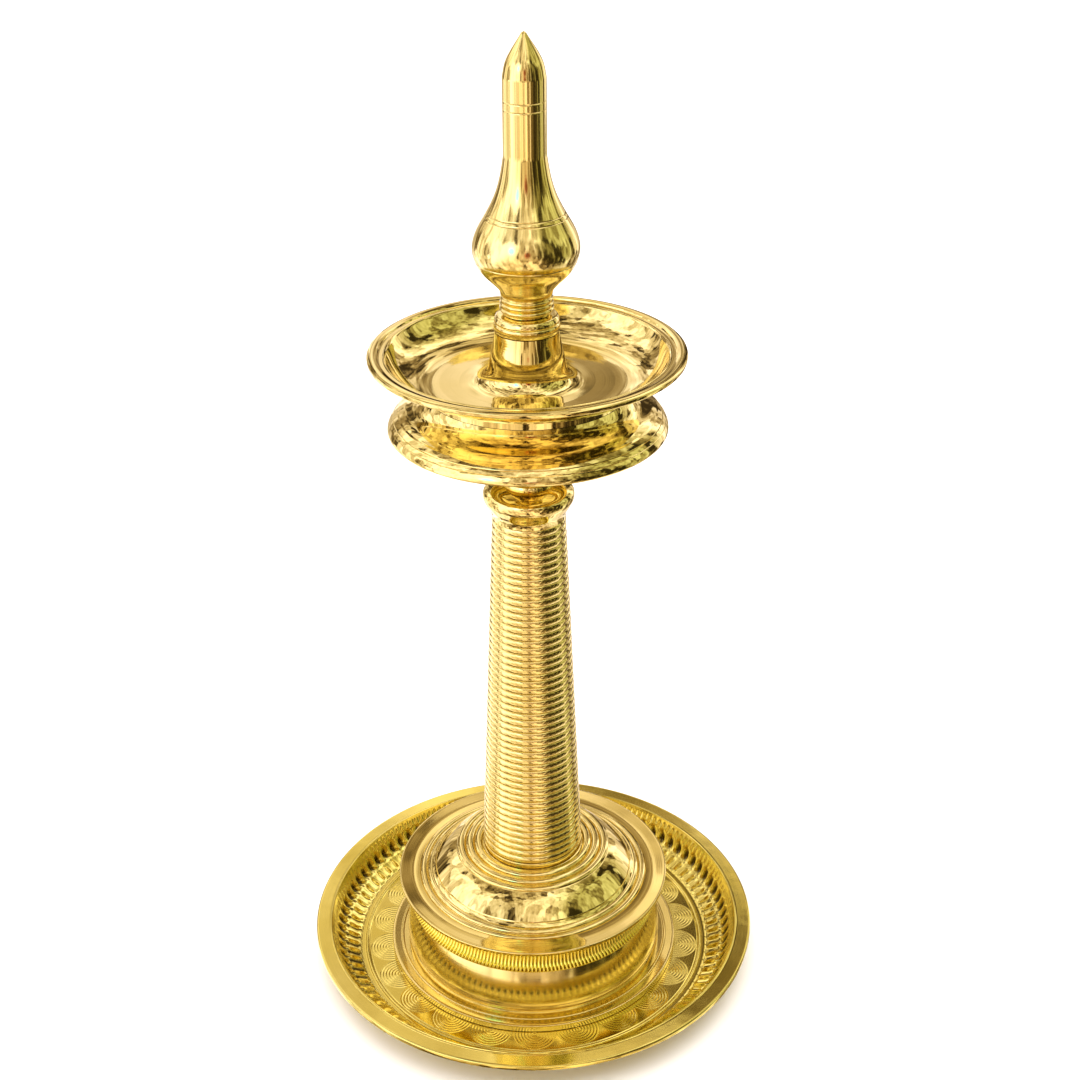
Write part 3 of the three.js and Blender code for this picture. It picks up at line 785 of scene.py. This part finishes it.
def make_tray():
    rim = tray.top - 0.5
    under = rim - SHEET
    rise = LIP_INNER - FLOOR_EDGE
    wall = sweep([(FLOOR_EDGE, SHEET), (FLOOR_EDGE + 0.3 * rise, SHEET + 2.2),
                  (FLOOR_EDGE + 0.56 * rise, SHEET + 6.0), (FLOOR_EDGE + 0.8 * rise, SHEET + 13.5),
                  (LIP_INNER, tray.top)], 30)
    side = outward(np.array(wall), closed=False)
    outer_wall = [(r + nr * SHEET, z + nz * SHEET) for (r, z), (nr, nz) in zip(wall, side)][2:-3]
    outline = [
        (0, 0), (FLOOR_EDGE - 2, 0), *outer_wall, (LIP_INNER + SHEET, under),
        (tray.radius - SHEET, under, 0.5),
        (tray.radius - SHEET, rim - 3.4, 0.3), (tray.radius, rim - 3.4, 0.4), (tray.radius, rim, 1.1),
        (LIP_INNER + 2.2, rim + 0.1),
        *bead((LIP_INNER + 1.7, rim + 0.1), (LIP_INNER + 0.3, rim + 0.1), 0.4, 6),
        *wall[::-1], (FLOOR_EDGE - 1.2, SHEET + 0.05), (FLOOR_EDGE - 2.6, SHEET + 0.02),
        *bead((FLOOR_EDGE - 3.0, SHEET), (FLOOR_EDGE - 5.2, SHEET), 0.8, 10), (FLOOR_EDGE - 5.7, SHEET - 0.3),
        (FLOOR_EDGE - 6.2, SHEET), (84, SHEET), (0, SHEET)]
    return turned("fluted_tray", eased(outline), TRAY_SIDES, flutes)


stand_for(make_tray(), "tray", tray_brass)

# %% [markdown]
# ## Floor and light
#
# A mirror finish shows the whole room, so the room is the lighting. A plain dome
# would make the brass look like plastic, and a few bright panels would leave hard
# rectangles on it. So the world here is a made-up room of upright blocks of light
# and dark, large and small, with fine streaks over them. A few parts of it are
# darker, lighter or tinted, as a window, a floor or a coloured thing would be.
# The camera itself sees plain white in its place. The floor is plain and pale,
# has one soft light of its own, and isn't mirrored in the metal.

# %% Floor
def make_floor():
    mesh = bpy.data.meshes.new("floor")
    half = 9.0
    corners = [(-half, -half, 0), (half, -half, 0), (half, half, 0), (-half, half, 0)]
    mesh.from_pydata(corners, [], [(0, 1, 2, 3)])
    floor = bpy.data.objects.new("floor", mesh)
    paint = bpy.data.materials.new("pale_floor")
    paint.use_nodes = True
    shader = paint.node_tree.nodes["Principled BSDF"]
    shader.inputs["Base Color"].default_value = (0.92, 0.92, 0.915, 1)
    shader.inputs["Roughness"].default_value = 0.75
    mesh.materials.append(paint)
    floor.visible_glossy = False
    bpy.context.scene.collection.objects.link(floor)


make_floor()


# %% Soft light on the floor
def light_floor(place, aim, width, height, power):
    """One large soft light over the floor, which the metal doesn't mirror."""
    data = bpy.data.lights.new("floor_light", "AREA")
    data.shape, data.size, data.size_y = "RECTANGLE", width, height
    data.energy = power
    box = bpy.data.objects.new("floor_light", data)
    box.location = place
    box.rotation_euler = (Vector(aim) - Vector(place)).to_track_quat("-Z", "Y").to_euler()
    box.visible_glossy = False
    bpy.context.scene.collection.objects.link(box)
    print("floor light:", power, "W over", width, "by", height, "m")


light_floor((0, 1.5, 4.5), (0, 1.5, 0), 9.0, 9.0, 560)


# %% The room
ROOM_PARTS = [  # direction, size in degrees, how much lighter or darker, and tint
    ((1.0, -0.2, 0.3), 58, -0.24, (0.72, 0.82, 0.50)),
    ((-0.8, -0.6, 0.3), 46, 0.05, (1.0, 1.04, 1.12)),
    ((0.0, -1.0, -0.6), 64, -0.05, (0.82, 0.71, 0.55)),
    ((0.0, 0.77, 0.64), 12, -0.05, (0.9, 0.86, 0.72)),
    ((-0.5, -0.8, 0.3), 9, 0.0, (0.35, 1.3, 1.8)),
    ((0.05, -1.0, 0.2), 8, -0.05, (0.9, 0.25, 0.2)),
]


def make_room():
    world = bpy.data.worlds.new("room")
    world.use_nodes = True
    tree = world.node_tree
    direction = add_node(tree, "ShaderNodeTexCoord").outputs["Generated"]

    def blocks(across, upright, seed):
        """Upright blocks of random tone, with edges that wander a little."""
        place = add_node(tree, "ShaderNodeMapping", {"Vector": direction, "Scale": (across, across, upright),
                                                     "Location": (seed, seed, seed)}).outputs[0]
        noise = {"Vector": place, "Scale": 1.6, "Detail": 3.0}
        wander = add_node(tree, "ShaderNodeTexNoise", noise).outputs["Color"]
        bent = add_node(tree, "ShaderNodeMix", {"Factor": 0.22, "A": place, "B": wander}, data_type="VECTOR")
        cells = add_node(tree, "ShaderNodeTexVoronoi", {"Vector": bent.outputs["Result"], "Scale": 1.0},
                         distance="CHEBYCHEV")
        return add_node(tree, "ShaderNodeSeparateColor", {0: cells.outputs["Color"]}).outputs[0]

    def ramp(value, stops):
        node = add_node(tree, "ShaderNodeValToRGB", {0: value})
        elements = node.color_ramp.elements
        while len(elements) < len(stops):
            elements.new(0.5)
        for element, (at, colour) in zip(elements, stops):
            element.position, element.color = at, (*colour, 1)
        return node.outputs[0]

    def near(toward, size):
        """1 in the middle of a part of the room, fading to 0 at its edge; size is in degrees."""
        facing = add_node(tree, "ShaderNodeVectorMath", {0: direction, 1: Vector(toward).normalized()},
                          operation="DOT_PRODUCT").outputs["Value"]
        fade = {"Value": facing, "From Min": math.cos(math.radians(size)),
                "From Max": math.cos(math.radians(size / 2))}
        return add_node(tree, "ShaderNodeMapRange", fade).outputs["Result"]

    stretched = {"Vector": direction, "Scale": (26.0, 26.0, 2.2)}
    streaks = add_node(tree, "ShaderNodeMapping", stretched).outputs[0]
    fine = add_node(tree, "ShaderNodeTexNoise", {"Vector": streaks, "Scale": 1.0, "Detail": 2.0}).outputs[0]
    tone = 0
    for layer, share in ((blocks(3.2, 1.6, 3.0), 0.42), (blocks(12.0, 3.2, 7.0), 0.30), (fine, 0.38)):
        tone = maths(tree, "ADD", tone, maths(tree, "MULTIPLY", layer, share))
    parts = [(near(toward, size), lift, tint) for toward, size, lift, tint in ROOM_PARTS]
    for share, lift, _ in parts:
        tone = maths(tree, "ADD", tone, maths(tree, "MULTIPLY", share, lift))
    shown = ramp(tone, [(0.29, (0.05, 0.034, 0.018)), (0.39, (0.40, 0.29, 0.17)),
                        (0.49, (0.92, 0.76, 0.60)), (0.60, (1.32, 1.15, 1.12)), (0.76, (2.2, 1.98, 2.05))])
    for share, _, tint in parts:
        shown = add_node(tree, "ShaderNodeMix", {"Factor": share, "A": shown, "B": (*tint, 1)},
                         data_type="RGBA", blend_type="MULTIPLY").outputs["Result"]
    seen = add_node(tree, "ShaderNodeLightPath").outputs["Is Camera Ray"]
    final = add_node(tree, "ShaderNodeMix", {"Factor": seen, "A": shown, "B": (1.0, 1.0, 1.0, 1)},
                     data_type="RGBA")
    background = tree.nodes["Background"]
    tree.links.new(final.outputs["Result"], background.inputs["Color"])
    background.inputs["Strength"].default_value = 1.0
    bpy.context.scene.world = world


make_room()
bpy.context.scene.view_settings.view_transform = "Standard"
